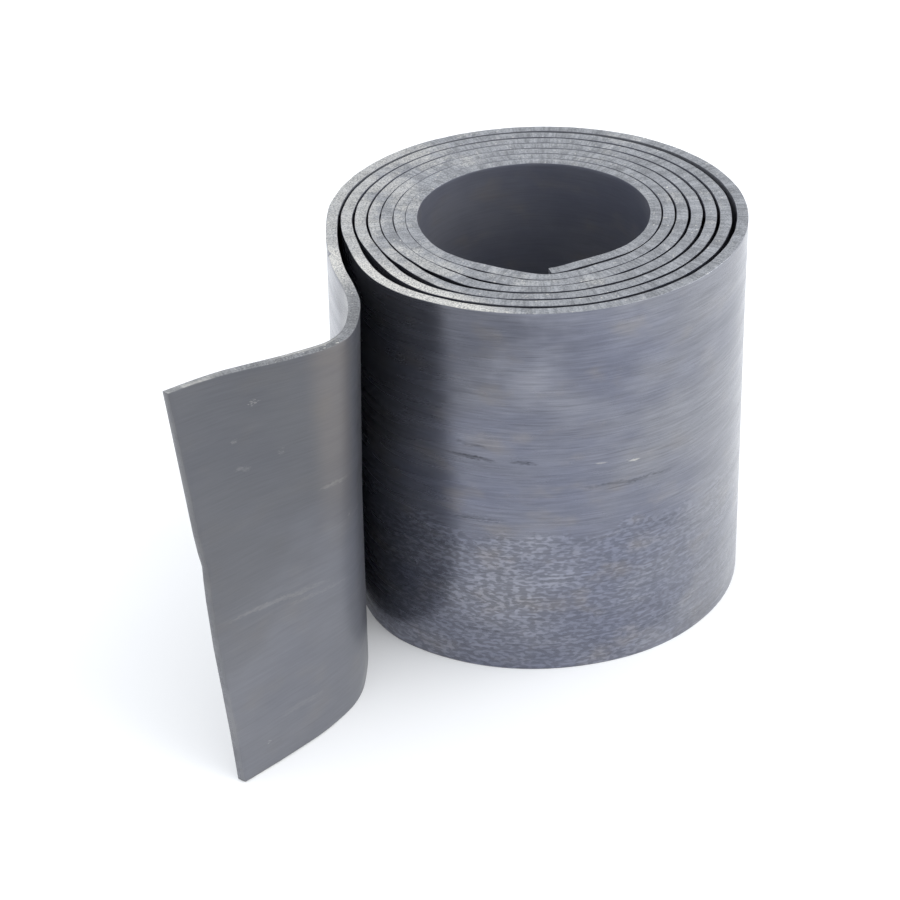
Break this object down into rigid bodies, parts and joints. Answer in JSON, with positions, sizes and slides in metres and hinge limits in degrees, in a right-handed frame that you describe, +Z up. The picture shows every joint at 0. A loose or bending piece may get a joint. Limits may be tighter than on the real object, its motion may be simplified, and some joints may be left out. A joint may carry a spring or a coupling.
{
  "type": "roll of lead flashing",
  "caption": "Roll of thick lead flashing strip standing on its end, with an open bore and its free end turned out.",
  "frame": {"origin": "under the middle of the whole outline, free end included, on the surface that the roll stands on", "axes": "+Z up along the roll's bore, -Y towards the side that the free end runs out to, +X to the right of it"},
  "size_m": [0.1355, 0.153, 0.1],
  "materials": {
    "lead": "satin"
  },
  "bodies": {
    "root": {"lead_strip": "lead"}
  },
  "joints": []
}
